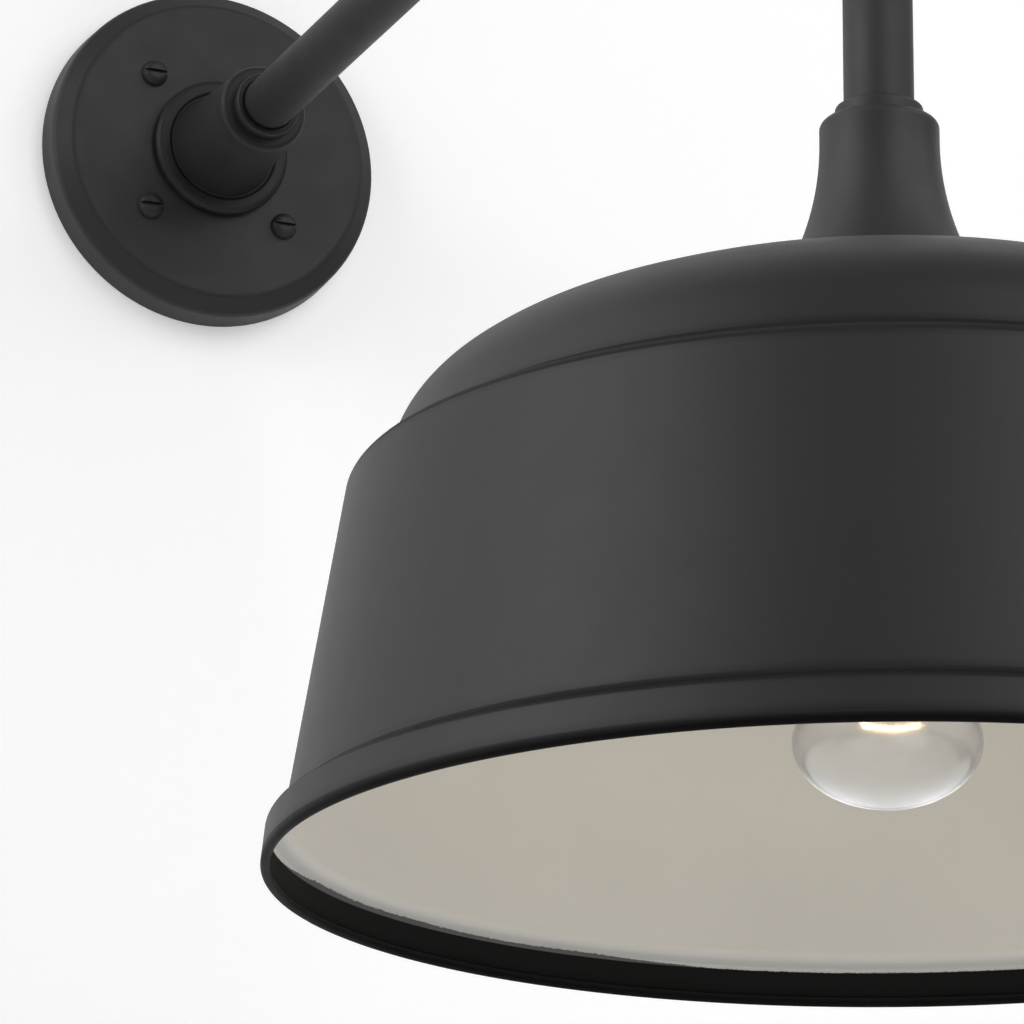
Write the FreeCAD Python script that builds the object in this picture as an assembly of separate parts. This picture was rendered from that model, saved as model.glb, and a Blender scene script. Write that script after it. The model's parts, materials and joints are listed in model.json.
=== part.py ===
import FreeCAD, Part
import math
import os

# Outdoor wall lantern: a round wall plate carries a level arm that turns down through
# a right-angle elbow into a neck, and the neck holds a wide spun shade round one bulb.
# Millimetres. The origin is the centre of the wall plate on the wall's surface:
# +Y points into the wall, the arm leaves along -Y, +Z is up.
# Plate-side pieces are drawn with their height h measured out from the wall (y = -h).

V = FreeCAD.Vector
UP = V(0, 0, 1)

# Driving dimensions
ARM_D = 23.0            # outside diameter of the arm tube
ARM_WALL = 1.6
REACH = 648.0           # wall to the shade's axis
ELBOW_R = 95.0          # centre-line radius of the elbow
SCREW_CIRCLE_R = 44.2   # the cover screws' circle
BOX_SPACING = 88.9      # holes that take the outlet box's screws

# Wall plate
PLATE_BACK_R = 76.0
PLATE_EDGE_R = 75.4
PLATE_FACE_R = 67.7
PLATE_EDGE_H = 13.5
PLATE_H = 19.1
PLATE_T = 2.2
PLATE_FACE_ROUND = 4.0
PLATE_EDGE_ROUND = 2.6

# Boss that holds the arm on the plate
BEAD_R = 31.0
BEAD_ROUND = 3.0
BOSS_FOOT_R = 22.8
BODY_R = 19.5           # both castings have this radius where they meet their ring
SHOULDER_ROUND = 2.8
BOSS_END_H = 76.0
BOSS_SCREW_H = 60.0     # set screw in the boss's top
RING_R = 14.4
RING_L = 5.2
STUD_R = 10.0           # threaded stud on the boss, and the shade's nipple
STUD_BORE_R = 7.5
STUD_TIP_H = 9.0
ARM_START_H = 30.0      # the arm's end inside the boss

# Neck and shade, all about the vertical shade axis
NECK_TOP = -211.0
NECK_SEAT = -238.0      # the arm's end inside the neck
NECK_SCREW_Z = -224.0   # set screw in the neck's side that faces the wall
NECK_FLARE_TOP = -217.9
NECK_FLARE_R = 97.6
NECK_FLARE_END = -264.0
FOOT_R = 37.0
FOOT_TOP = -270.0
SHADE_TOP = -277.4
SHADE_T = 1.2
GASKET_T = 1.2
CROWN_HOLE_R = 10.3
WALL_TOP_R = 170.7      # cone, top and bottom, where it meets shoulder and skirt
WALL_TOP_Z = -338.9
WALL_LOW_R = 188.3
WALL_LOW_Z = -446.5
SKIRT_R = 193.9
SKIRT_Z = -449.0
RIM_R = 195.4
RIM_Z = -462.8
HEM_R = 1.6             # the rim's edge is rolled inwards into a closed hem of this radius

# Lampholder
HOLDER_R = 20.5
HOLDER_TOP = -290.0
HOLDER_SHOULDER = -298.0
HOLDER_JOINT = -314.0   # cap meets body
HOLDER_MOUTH = -366.0
POCKET_Z = -333.0
RECESS_Z = -338.0
RECESS_R = 15.2
HOLDER_SCREW_X = 17.2
TERMINAL_X = 10.6

# Bulb
BULB_R = 30.0
BULB_Z = -418.4         # widest part
BULB_DROP = 20.7        # widest part to the tip
GLASS_T = 0.8
GLASS_NECK_R = 13.4
GLASS_NECK_Z = -392.4   # the neck flares out from here
GLASS_SWELL_Z = -413.6  # corner between the flare and the widest part, and its rounding
GLASS_SWELL = 14.0
CAP_WALL = 0.7
CAP_LOW = -368.0
CAP_TOP = -345.0
CAP_R = 13.0
THREAD_PITCH = 3.6
THREAD_DEPTH = 0.8
THREAD_ROUND = 0.7
RUNNING_GAP = 0.3
TUCK = 5.0              # the glass reaches this far up inside the cap
TIP_Z = -340.5

WIRE_R = 1.1
WIRE_X = 3.0            # each lead runs this far to one side of the tube's centre line


# ---- shapes from outlines -------------------------------------------------

def rounded_path(corners, closed):
    """Straight edges through (point, radius) corners, each corner replaced by a tangent arc."""
    count = len(corners)
    bends = []
    for i, (point, radius) in enumerate(corners):
        inner = closed or 0 < i < count - 1
        if radius <= 0 or not inner:
            bends.append((point, None, point))
            continue
        back = (corners[i - 1][0] - point).normalize()
        ahead = (corners[(i + 1) % count][0] - point).normalize()
        half = back.getAngle(ahead) / 2
        bisector = (back + ahead).normalize()
        reach = radius / math.tan(half)
        middle = point + bisector * (radius / math.sin(half) - radius)
        bends.append((point + back * reach, middle, point + ahead * reach))
    edges = []
    for i, (start, middle, end) in enumerate(bends):
        if middle is not None:
            edges.append(Part.Arc(start, middle, end).toShape())
        if i + 1 < count or closed:
            follower = bends[(i + 1) % count][0]
            if end.distanceToPoint(follower) > 1e-6:
                edges.append(Part.LineSegment(end, follower).toShape())
    return edges


def outline(corners):
    """(r, z, radius) or (r, z) corners as points in the XZ plane."""
    return [(V(c[0], 0, c[1]), c[2] if len(c) > 2 else 0) for c in corners]


def spin(edges):
    """Revolve a closed outline in the XZ plane about the Z axis."""
    face = Part.Face(Part.Wire(edges))
    return face.revolve(V(0, 0, 0), UP, 360)


def turned(corners):
    return spin(rounded_path(outline(corners), True))


def offset_corners(corners, distance):
    """An open outline moved sideways by distance, to the right of its direction."""
    points = [V(c[0], 0, c[1]) for c in corners]
    radii = [c[2] if len(c) > 2 else 0 for c in corners]
    ways = [(b - a).normalize() for a, b in zip(points, points[1:])]
    sides = [V(w.z, 0, -w.x) for w in ways]
    moved = [points[0] + sides[0] * distance]
    for i in range(1, len(points) - 1):
        mean = (sides[i - 1] + sides[i]).normalize()
        moved.append(points[i] + mean * (distance / mean.dot(sides[i])))
    moved.append(points[-1] + sides[-1] * distance)
    result = []
    for i, point in enumerate(moved):
        radius = radii[i]
        if radius > 0:
            turn = ways[i - 1].x * ways[i].z - ways[i - 1].z * ways[i].x
            radius = max(radius + (distance if turn > 0 else -distance), 0.2)
        result.append((point.x, point.z, radius))
    return result


def sheet_turned(corners, thickness):
    """A turned shell: the outline is its outside, and the metal lies on the right of it."""
    inside = offset_corners(corners, thickness)
    return turned(list(corners) + inside[::-1])


def swept(points, radius):
    """A round bar along straight runs joined by tangent arcs."""
    path = Part.Wire(rounded_path(points, False))
    along = points[1][0] - points[0][0]
    section = Part.Wire([Part.makeCircle(radius, points[0][0], along)])
    return path.makePipeShell([section], True, True)


def cylinder(radius, low, high, x=0, y=0):
    return Part.makeCylinder(radius, high - low, V(x, y, low), UP)


def hexagon(across, low, high):
    corner_r = across / math.sqrt(3)
    points = [V(corner_r * math.cos(math.radians(60 * i)), corner_r * math.sin(math.radians(60 * i)), low)
              for i in range(6)]
    return Part.Face(Part.makePolygon(points + points[:1])).extrude(V(0, 0, high - low))


def off_wall(shape):
    """Stand a piece drawn along +Z out from the wall along -Y."""
    shape.rotate(V(0, 0, 0), V(1, 0, 0), 90)
    return shape


def under_arm(shape):
    """Move a piece drawn about the Z axis to the shade's axis."""
    shape.translate(V(0, -REACH, 0))
    return shape


def screw_spots():
    offset = SCREW_CIRCLE_R / math.sqrt(2)
    return [(x, y) for x in (-offset, offset) for y in (-offset, offset)]


# ---- wall plate and what is behind it ---------------------------------------

COVER_SCREW_R = 3.0
GROUND_SCREW_R = 2.0
GROUND_SCREW_Y = 47.0
BOX_HOLE_R = 2.5
STRAP_R = 60.0
STRAP_T = 2.5
STRAP_OPENING_R = 20.0
COLLAR_WALL = 2.2       # wall of the tapped collars that take the cover screws
COLLAR_TOP = 7.0


def wall_plate():
    plate = sheet_turned([(STUD_R + RUNNING_GAP, PLATE_H), (PLATE_FACE_R, PLATE_H, PLATE_FACE_ROUND),
                          (PLATE_EDGE_R, PLATE_EDGE_H, PLATE_EDGE_ROUND), (PLATE_BACK_R, 0),
                          (PLATE_BACK_R, -1)], PLATE_T)
    for x, y in screw_spots():
        plate = plate.cut(cylinder(COVER_SCREW_R + RUNNING_GAP, 0, PLATE_H + 1, x, y))
    plate = plate.common(cylinder(PLATE_BACK_R, 0, PLATE_H))
    return off_wall(plate)


def plate_gasket():
    width, height, edge = 5.0, 3.0, 0.6
    outer = PLATE_BACK_R - PLATE_T - 0.2
    inner = outer - width
    return off_wall(turned([(inner, 0), (outer, 0), (outer, height, edge), (inner, height, edge)]))


def mounting_ring():
    ring = cylinder(STRAP_R, 0, STRAP_T)
    for x, y in screw_spots():
        ring = ring.fuse(cylinder(COVER_SCREW_R + COLLAR_WALL, 0, COLLAR_TOP, x, y))
    ring = ring.cut(cylinder(STRAP_OPENING_R, -1, STRAP_T + 1))
    for x, y in screw_spots():
        ring = ring.cut(cylinder(COVER_SCREW_R, -1, COLLAR_TOP + 1, x, y))
    for x in (-BOX_SPACING / 2, BOX_SPACING / 2):
        ring = ring.cut(cylinder(BOX_HOLE_R, -1, STRAP_T + 1, x, 0))
    ring = ring.cut(cylinder(GROUND_SCREW_R, -1, STRAP_T + 1, 0, GROUND_SCREW_Y))
    return off_wall(ring.removeSplitter())


def cover_screws():
    """Round-headed screws with a level slot, as one group."""
    head_r, head_h, dome, slot_w, slot_d = 5.9, 4.0, 3.6, 1.7, 1.9
    point, chamfer = 1.0, 0.4
    solids = []
    for x, y in screw_spots():
        screw = turned([(0, point), (COVER_SCREW_R - chamfer, point), (COVER_SCREW_R, point + 2 * chamfer),
                        (COVER_SCREW_R, PLATE_H), (head_r, PLATE_H), (head_r, PLATE_H + head_h, dome),
                        (0, PLATE_H + head_h)])
        slot = Part.makeBox(2 * head_r + 2, slot_w, slot_d + 1,
                            V(-head_r - 1, -slot_w / 2, PLATE_H + head_h - slot_d))
        screw = screw.cut(slot)
        screw.translate(V(x, y, 0))
        solids.append(off_wall(screw))
    return Part.makeCompound(solids)


def ground_screw():
    across, washer_r, washer_h, head_h, slot_w, slot_d = 8.0, 5.0, 1.0, 4.6, 1.2, 1.4
    head = hexagon(across, STRAP_T + washer_h, STRAP_T + head_h)
    washer_face = cylinder(washer_r, STRAP_T, STRAP_T + washer_h)
    slot = Part.makeBox(2 * washer_r, slot_w, slot_d, V(-washer_r, -slot_w / 2, STRAP_T + head_h - slot_d))
    shank = cylinder(GROUND_SCREW_R, 0.3, STRAP_T)
    screw = head.fuse([washer_face, shank]).cut(slot).removeSplitter()
    screw.translate(V(0, GROUND_SCREW_Y, 0))
    return off_wall(screw)


# ---- boss and arm --------------------------------------------------------------

WASHER_T = 1.2
WASHER_R = 17.0
NUT_H = 5.0
NUT_ACROSS = 30.0
BOSS_TAPER_H = 45.0     # the boss narrows quickly up to here, then slowly up to BOSS_LEVEL_H
BOSS_LEVEL_H = 68.0


def arm_boss():
    """Casting: bead against the plate, tapering body, threaded stud through the plate."""
    bead_top = PLATE_H + 2 * BEAD_ROUND
    groove_top_r, groove_r, groove_h, foot_h = BEAD_R - 6.2, BOSS_FOOT_R + 0.6, bead_top - 2.4, bead_top + 2.0
    corners = [(STUD_BORE_R, STUD_TIP_H), (STUD_R, STUD_TIP_H), (STUD_R, PLATE_H),
               (BEAD_R, PLATE_H, BEAD_ROUND - 0.05), (BEAD_R, bead_top, BEAD_ROUND - 0.05),
               (groove_top_r, bead_top, 1.5), (groove_r, groove_h, 0.8), (BOSS_FOOT_R, foot_h, 2),
               (BODY_R + 1.3, BOSS_TAPER_H, 60), (BODY_R, BOSS_LEVEL_H, 20),
               (BODY_R, BOSS_END_H, SHOULDER_ROUND - 0.05), (ARM_D / 2, BOSS_END_H),
               (ARM_D / 2, ARM_START_H), (STUD_BORE_R, ARM_START_H)]
    boss = turned(corners)
    return off_wall(boss.cut(set_screw_blank(BOSS_SCREW_H)))


SET_SCREW_R = 2.5
SET_SCREW_KEY = 2.5     # across the flats of its socket
SET_SCREW_SINK = 0.6    # its head lies this far under the casting's skin


def set_screw_blank(height):
    """Radial hole in a casting's side, on top of the boss and on the neck's side that faces the wall."""
    return Part.makeCylinder(SET_SCREW_R, 14, V(0, ARM_D / 2, height), V(0, 1, 0))


def set_screw(height):
    length = BODY_R - ARM_D / 2 - SET_SCREW_SINK
    body = Part.makeCylinder(SET_SCREW_R, length, V(0, ARM_D / 2, height), V(0, 1, 0))
    key = hexagon(SET_SCREW_KEY, 0, 3)
    key.rotate(V(0, 0, 0), V(1, 0, 0), -90)
    key.translate(V(0, BODY_R - 3, height))
    return body.cut(key)


def boss_set_screw():
    return off_wall(set_screw(BOSS_SCREW_H))


def boss_washer():
    """Lock washer with an ear that the earth lead is crimped to."""
    ear_w, ear_from, ear_to = 7.0, 14.0, 27.0
    top = PLATE_H - PLATE_T
    ear = Part.makeBox(ear_w, ear_to - ear_from, WASHER_T, V(-ear_w / 2, ear_from, top - WASHER_T))
    washer = cylinder(WASHER_R, top - WASHER_T, top).fuse(ear)
    return off_wall(washer.cut(cylinder(STUD_R, 0, PLATE_H)).removeSplitter())


def boss_locknut():
    top = PLATE_H - PLATE_T - WASHER_T
    nut = hexagon(NUT_ACROSS, top - NUT_H, top).cut(cylinder(STUD_R, 0, PLATE_H))
    return off_wall(nut)


def rounded_ring(low, high, inner, outer):
    """Gland ring: square on the side that beds on its casting, rounded on the other."""
    outer_round, inner_round = 1.3, 0.8
    return turned([(inner, low), (outer, low), (outer, high, outer_round), (inner, high, inner_round)])


def arm_ring():
    return off_wall(rounded_ring(BOSS_END_H, BOSS_END_H + RING_L, ARM_D / 2, RING_R))


def neck_ring():
    return under_arm(rounded_ring(NECK_TOP, NECK_TOP + RING_L, ARM_D / 2, RING_R))


def arm_line(start_h, end_z, side=0.0):
    """The arm's centre line from the boss to the neck, or a lead that runs beside it."""
    return [(V(side, -start_h, 0), 0), (V(side, -REACH, 0), ELBOW_R), (V(side, -REACH, end_z), 0)]


def arm_tube():
    line = arm_line(ARM_START_H, NECK_SEAT)
    return swept(line, ARM_D / 2).cut(swept(line, ARM_D / 2 - ARM_WALL))


def tube_bushings():
    """Plastic bushings in both ends of the tube, which hold the two leads side by side."""
    length = 9.0
    bore = WIRE_X + WIRE_R
    outer = ARM_D / 2 - ARM_WALL
    at_boss, at_neck = [turned([(bore, end, 1), (outer, end), (outer, end + length), (bore, end + length)])
                        for end in (ARM_START_H, NECK_SEAT)]
    return Part.makeCompound([off_wall(at_boss), under_arm(at_neck)])


# ---- neck and shade ---------------------------------------------------------------

NIPPLE_TOP = -256.0
NIPPLE_END = -300.0
SHADE_WASHER_T = 1.5
SHADE_WASHER_R = 22.0
SHADE_NUT_H = 6.5
SHADE_NUT_ACROSS = 32.0
CROWN_END_R = 81.5      # the crown is nearly flat inside this radius
CROWN_CURVE = 214.0
DOME = [(134.1, -299.7, 75), (146.6, -308.8, 42), (154.0, -318.1, 36)]
SHOULDER_IN_R = 160.1   # where the dome meets the narrow level shoulder
SHOULDER_IN_Z = -334.6
SHOULDER_FOLD = 3.0     # hollow and round of the shoulder, then of the skirt's step
SHOULDER_BROW = 4.0
SKIRT_FOLD = 4.5
SKIRT_BROW = 2.5


def neck_side():
    """Outside of the neck: rounded shoulder, straight collar, flare, foot, down to its seat."""
    seat = SHADE_TOP + GASKET_T
    flare = math.asin((NECK_FLARE_TOP - NECK_FLARE_END) / NECK_FLARE_R)
    end_r = BODY_R + NECK_FLARE_R * (1 - math.cos(flare))
    half = flare / 2
    mid = V(BODY_R + NECK_FLARE_R * (1 - math.cos(half)), 0, NECK_FLARE_TOP - NECK_FLARE_R * math.sin(half))
    upper = rounded_path(outline([(ARM_D / 2, NECK_TOP), (BODY_R, NECK_TOP, SHOULDER_ROUND - 0.05),
                                  (BODY_R, NECK_FLARE_TOP)]), False)
    flare_arc = Part.Arc(V(BODY_R, 0, NECK_FLARE_TOP), mid, V(end_r, 0, NECK_FLARE_END)).toShape()
    lower = rounded_path(outline([(end_r, NECK_FLARE_END), (end_r, FOOT_TOP, 1.5), (FOOT_R, FOOT_TOP, 1.5),
                                  (FOOT_R, seat), (STUD_R, seat), (STUD_R, NIPPLE_TOP),
                                  (STUD_BORE_R, NIPPLE_TOP), (STUD_BORE_R, NECK_SEAT),
                                  (ARM_D / 2, NECK_SEAT), (ARM_D / 2, NECK_TOP)]), False)
    return upper + [flare_arc] + lower


def shade_neck():
    return under_arm(spin(neck_side()).cut(set_screw_blank(NECK_SCREW_Z)))


def neck_set_screw():
    return under_arm(set_screw(NECK_SCREW_Z))


def shade_gasket():
    inner, outer, top = 12.0, FOOT_R - 2, SHADE_TOP + GASKET_T
    return under_arm(turned([(inner, SHADE_TOP), (outer, SHADE_TOP), (outer, top), (inner, top)]))


def shade():
    """Spun sheet: shallow crown, rounded dome, shoulder, straight cone, stepped-out skirt, rolled hem."""
    crown = [(CROWN_HOLE_R, SHADE_TOP), (CROWN_END_R, SHADE_TOP, CROWN_CURVE)]
    shoulder = [(SHOULDER_IN_R, SHOULDER_IN_Z, SHOULDER_FOLD), (WALL_TOP_R, WALL_TOP_Z, SHOULDER_BROW)]
    skirt = [(WALL_LOW_R, WALL_LOW_Z, SKIRT_FOLD), (SKIRT_R, SKIRT_Z, SKIRT_BROW)]
    outside = crown + DOME + shoulder + skirt + [(RIM_R, RIM_Z)]
    inside = offset_corners(outside, SHADE_T)
    hem_in, hem_top = RIM_R - 2 * HEM_R, RIM_Z + 2 * HEM_R
    hem = [(RIM_R, RIM_Z, HEM_R - 0.05), (hem_in, RIM_Z, HEM_R - 0.05), (hem_in, hem_top, HEM_R - 0.15),
           (inside[-1][0], hem_top)]
    return under_arm(turned(outside[:-1] + hem + inside[-2::-1]))


def shade_nipple():
    return under_arm(turned([(STUD_BORE_R, NIPPLE_END), (STUD_R, NIPPLE_END), (STUD_R, NIPPLE_TOP),
                             (STUD_BORE_R, NIPPLE_TOP)]))


def shade_washer():
    top = SHADE_TOP - SHADE_T
    low, edge = top - SHADE_WASHER_T, 0.6
    return under_arm(turned([(STUD_R, top), (SHADE_WASHER_R, top), (SHADE_WASHER_R, low, edge), (STUD_R, low)]))


def shade_locknut():
    top = SHADE_TOP - SHADE_T - SHADE_WASHER_T
    nut = hexagon(SHADE_NUT_ACROSS, top - SHADE_NUT_H, top).cut(cylinder(STUD_R, top - 10, top + 1))
    return under_arm(nut)


# ---- lampholder ------------------------------------------------------------------------

HOLDER_SCREW_R = 1.5
HOLDER_SCREW_END = -326.0
TERMINAL_END = -321.0
POCKET_R = 9.0
BODY_STEP_Z = -336.0    # below here the porcelain is BODY_STEP smaller in radius
BODY_STEP = 1.5


def holder_cap():
    collar_r, room_r = 14.0, 14.2
    cap = turned([(STUD_R, HOLDER_TOP), (collar_r, HOLDER_TOP, 1), (collar_r, HOLDER_SHOULDER, 0.6),
                  (HOLDER_R, HOLDER_SHOULDER, 1.2), (HOLDER_R, HOLDER_JOINT), (room_r, HOLDER_JOINT),
                  (room_r, NIPPLE_END), (STUD_R, NIPPLE_END)])
    for x in (-HOLDER_SCREW_X, HOLDER_SCREW_X):
        cap = cap.cut(cylinder(HOLDER_SCREW_R, HOLDER_JOINT - 1, HOLDER_SHOULDER + 1, 0, x))
    return under_arm(cap)


def holder_body():
    """Porcelain block: terminals on top, a pocket for the centre contact, a recess for the screw shell."""
    waist_r = HOLDER_R - BODY_STEP
    body = turned([(0, HOLDER_JOINT), (HOLDER_R, HOLDER_JOINT), (HOLDER_R, BODY_STEP_Z + 6, 3),
                   (waist_r, BODY_STEP_Z, 3), (waist_r, HOLDER_MOUTH, 1.4), (RECESS_R, HOLDER_MOUTH, 0.8),
                   (RECESS_R, RECESS_Z), (POCKET_R, RECESS_Z), (POCKET_R, POCKET_Z), (0, POCKET_Z)])
    for y in (-HOLDER_SCREW_X, HOLDER_SCREW_X):
        body = body.cut(cylinder(HOLDER_SCREW_R, HOLDER_SCREW_END, HOLDER_JOINT + 1, 0, y))
    for x in (-TERMINAL_X, TERMINAL_X):
        body = body.cut(cylinder(HOLDER_SCREW_R, TERMINAL_END, HOLDER_JOINT + 1, x, 0))
    return under_arm(body)


def pan_screw(low, seat, head_r):
    """Slotted pan-head screw, its head above the seat."""
    head_h, slot_w, slot_d = 2.0, 0.8, 0.9
    top = seat + head_h
    screw = turned([(0, low), (HOLDER_SCREW_R, low), (HOLDER_SCREW_R, seat), (head_r, seat), (head_r, top, 0.8),
                    (0, top)])
    return screw.cut(Part.makeBox(2 * head_r, slot_w, slot_d, V(-head_r, -slot_w / 2, top - slot_d)))


def holder_screws():
    solids = []
    for y in (-HOLDER_SCREW_X, HOLDER_SCREW_X):
        screw = pan_screw(HOLDER_SCREW_END, HOLDER_SHOULDER, 2.5)
        screw.translate(V(0, y, 0))
        solids.append(under_arm(screw))
    return Part.makeCompound(solids)


def terminal(side):
    screw = pan_screw(TERMINAL_END, HOLDER_JOINT, 2.6)
    screw.translate(V(side * TERMINAL_X, 0, 0))
    return under_arm(screw)


def thread_corners(crest_r, low, high):
    """A rolled lamp thread drawn as level ridges: crests and roots half a pitch apart."""
    corners = []
    steps = int((high - low) / (THREAD_PITCH / 2))
    for i in range(steps + 1):
        deep = i % 2 == 0
        radius = crest_r - THREAD_DEPTH if deep else crest_r
        corners.append((radius, low + i * THREAD_PITCH / 2, THREAD_ROUND))
    return corners


def screw_shell():
    """Brass shell that the bulb turns into, flanged at the top where it is riveted to the porcelain."""
    wall, flange_t, eye_r = 0.5, 1.2, POCKET_R + 0.2
    low, top = HOLDER_MOUTH + 2.5, RECESS_Z
    crest = CAP_R + RUNNING_GAP + THREAD_DEPTH
    inside = thread_corners(crest, low + 1.2, top - 3.0)
    outside = [(r + wall, z, f) for r, z, f in inside]
    return under_arm(turned([(crest, low)] + inside + [(crest, top - wall), (eye_r, top - wall), (eye_r, top),
                             (RECESS_R, top), (RECESS_R, top - flange_t)] + outside[::-1]
                            + [(crest + wall, low)]))


def contact_plunger():
    """Sprung centre contact: a brass button on a short stem, free to rise inside its pocket."""
    button_r, button_t, stem_r = 4.0, 1.0, 1.6
    face, top = TIP_Z + RUNNING_GAP, POCKET_Z - 2.0
    return under_arm(turned([(0, face), (button_r, face, 0.3), (button_r, face + button_t),
                             (stem_r, face + button_t + 0.4), (stem_r, top), (0, top)]))


# ---- bulb ----------------------------------------------------------------------------------

DISC_R = 9.6            # black glass disc in the cap's end
SOLDER_R = 4.5          # soldered contact on the disc
SOLDER_T = 2.0


def ellipse_quarter(inset):
    """Quarter ellipse from the widest part to the tip."""
    a, b = BULB_R - inset, BULB_DROP - inset
    points = [V(a * math.cos(t), 0, BULB_Z - b * math.sin(t))
              for t in [math.radians(15 * i) for i in range(7)]]
    curve = Part.BSplineCurve()
    curve.interpolate(Points=points, InitialTangent=V(0, 0, -1), FinalTangent=V(-1, 0, 0))
    return curve.toShape()


def bulb_glass():
    tuck_r, tuck_z = CAP_R - THREAD_DEPTH - CAP_WALL, CAP_LOW + TUCK
    in_neck, room = GLASS_NECK_R - GLASS_T, BULB_R - GLASS_T
    outside = rounded_path(outline([(tuck_r, tuck_z), (tuck_r, CAP_LOW - 0.2), (GLASS_NECK_R, CAP_LOW - 0.2),
                                    (GLASS_NECK_R, GLASS_NECK_Z, 22),
                                    (BULB_R, GLASS_SWELL_Z, GLASS_SWELL), (BULB_R, BULB_Z)]), False)
    inside = rounded_path(outline([(tuck_r - GLASS_T, tuck_z), (tuck_r - GLASS_T, CAP_LOW - 1.2),
                                   (in_neck, CAP_LOW - 2.5, 1), (in_neck, GLASS_NECK_Z - 0.3, 22.8),
                                   (room, GLASS_SWELL_Z - 0.3, GLASS_SWELL - GLASS_T),
                                   (room, BULB_Z)]), False)
    top = Part.LineSegment(V(tuck_r - GLASS_T, 0, tuck_z), V(tuck_r, 0, tuck_z)).toShape()
    tip = Part.LineSegment(V(0, 0, BULB_Z - BULB_DROP), V(0, 0, BULB_Z - BULB_DROP + GLASS_T)).toShape()
    edges = [top] + outside + [ellipse_quarter(0), tip, ellipse_quarter(GLASS_T)] + inside
    return under_arm(spin(Part.__sortEdges__(edges)))


def bulb_cap():
    inner = CAP_R - THREAD_DEPTH - CAP_WALL
    thread = thread_corners(CAP_R, CAP_LOW + 2.2, CAP_TOP - 1.2)
    return under_arm(turned([(inner, CAP_LOW), (CAP_R, CAP_LOW), (CAP_R, CAP_LOW + 1.0, 0.4)] + thread
                            + [(DISC_R + 0.9, CAP_TOP), (DISC_R, CAP_TOP), (DISC_R, CAP_TOP - 0.8),
                               (inner, CAP_TOP - 2.6)]))


def bulb_insulator():
    ledge_z, seat_z = TIP_Z - 0.9, TIP_Z - SOLDER_T
    return under_arm(turned([(0, CAP_TOP - 2.0), (DISC_R, CAP_TOP - 2.0), (DISC_R, CAP_TOP, 0.3),
                             (SOLDER_R + 1.1, ledge_z), (SOLDER_R, ledge_z), (SOLDER_R, seat_z), (0, seat_z)]))


def bulb_tip():
    seat_z = TIP_Z - SOLDER_T
    return under_arm(turned([(0, seat_z), (SOLDER_R, seat_z), (SOLDER_R, TIP_Z, 1.4), (0, TIP_Z)]))


STEM_END = -386.0
PINCH_Z = -382.5        # waist where the leads pass through the stem
LEAD_EXIT_Z = -380.5
FILAMENT_Z = -412.4
FILAMENT_R = 0.4
FILAMENT_HALF = 10.5    # half the distance between its ends
FILAMENT_BACK = 5.5     # its middle bows this far towards the wall, and its ends this far forward
FILAMENT_FRONT = 3.0


def bulb_stem():
    """Glass mount: a flare sealed into the envelope's neck, drawn down to a button."""
    seal_r = CAP_R - THREAD_DEPTH - CAP_WALL - GLASS_T
    tube_r, pinch_r, button_r = 3.0, 1.6, 2.6
    return under_arm(turned([(0, CAP_LOW + TUCK), (seal_r, CAP_LOW + TUCK), (seal_r, CAP_LOW + 3, 1),
                             (tube_r + 1.2, CAP_LOW - 3, 3), (tube_r, PINCH_Z + 2.5, 2),
                             (pinch_r, PINCH_Z, 1), (pinch_r, STEM_END + 2.4, 0.6),
                             (button_r, STEM_END + 1.2, 0.8), (1.2, STEM_END, 0.4), (0, STEM_END)]))


def filament_spots():
    """Ends and supports of the filament, which is bent round them in an open arc."""
    bend_x = FILAMENT_HALF / 2
    return [V(-FILAMENT_HALF, -FILAMENT_FRONT, FILAMENT_Z), V(-bend_x, FILAMENT_BACK, FILAMENT_Z),
            V(bend_x, FILAMENT_BACK, FILAMENT_Z), V(FILAMENT_HALF, -FILAMENT_FRONT, FILAMENT_Z)]


def lead_and_support_wires():
    """Two leads from the stem's pinch to the filament's ends, two supports from its button."""
    wire_r, bend_r, out, down = 0.3, 2.0, 3.0, 1.5
    solids = []
    for i, end in enumerate(filament_spots()):
        inner = i in (1, 2)
        start_z = STEM_END + 1.2 if inner else LEAD_EXIT_Z
        start_r = 2.3 if inner else 2.9
        way = V(end.x, end.y, 0).normalize()
        start = V(0, 0, start_z) + way * start_r
        bend = V(0, 0, start_z - down) + way * (start_r + out)
        stop = V(end.x, end.y, FILAMENT_Z + FILAMENT_R)
        solids.append(under_arm(swept([(start, 0), (bend, bend_r), (stop, 0)], wire_r)))
    return Part.makeCompound(solids)


def filament():
    spots, bend_r = filament_spots(), 3.0
    return under_arm(swept([(spots[0], 0), (spots[1], bend_r), (spots[2], bend_r), (spots[3], 0)], FILAMENT_R))


# ---- wiring -----------------------------------------------------------------------------------

LEAD_LOW_H = 6.5
LEAD_END_X = 33.0
LEAD_BEND_R = 6.0
CONNECTOR_R = 5.4
CONNECTOR_L = 18.0
CONNECTOR_H = 8.3       # its axis lies this far from the wall


def lead(side):
    """One lead from its connector behind the plate, through stud, arm and nipple, to its terminal."""
    x = side * WIRE_X
    rest_z = HOLDER_JOINT + WIRE_R
    terminal_edge = TERMINAL_X - 2.6
    route = [(V(side * LEAD_END_X, -LEAD_LOW_H, 0), 0), (V(x, -LEAD_LOW_H, 0), LEAD_BEND_R),
             (V(x, -REACH, 0), ELBOW_R), (V(x, -REACH, rest_z), 5), (V(side * terminal_edge, -REACH, rest_z), 0)]
    return swept(route, WIRE_R)


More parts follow.
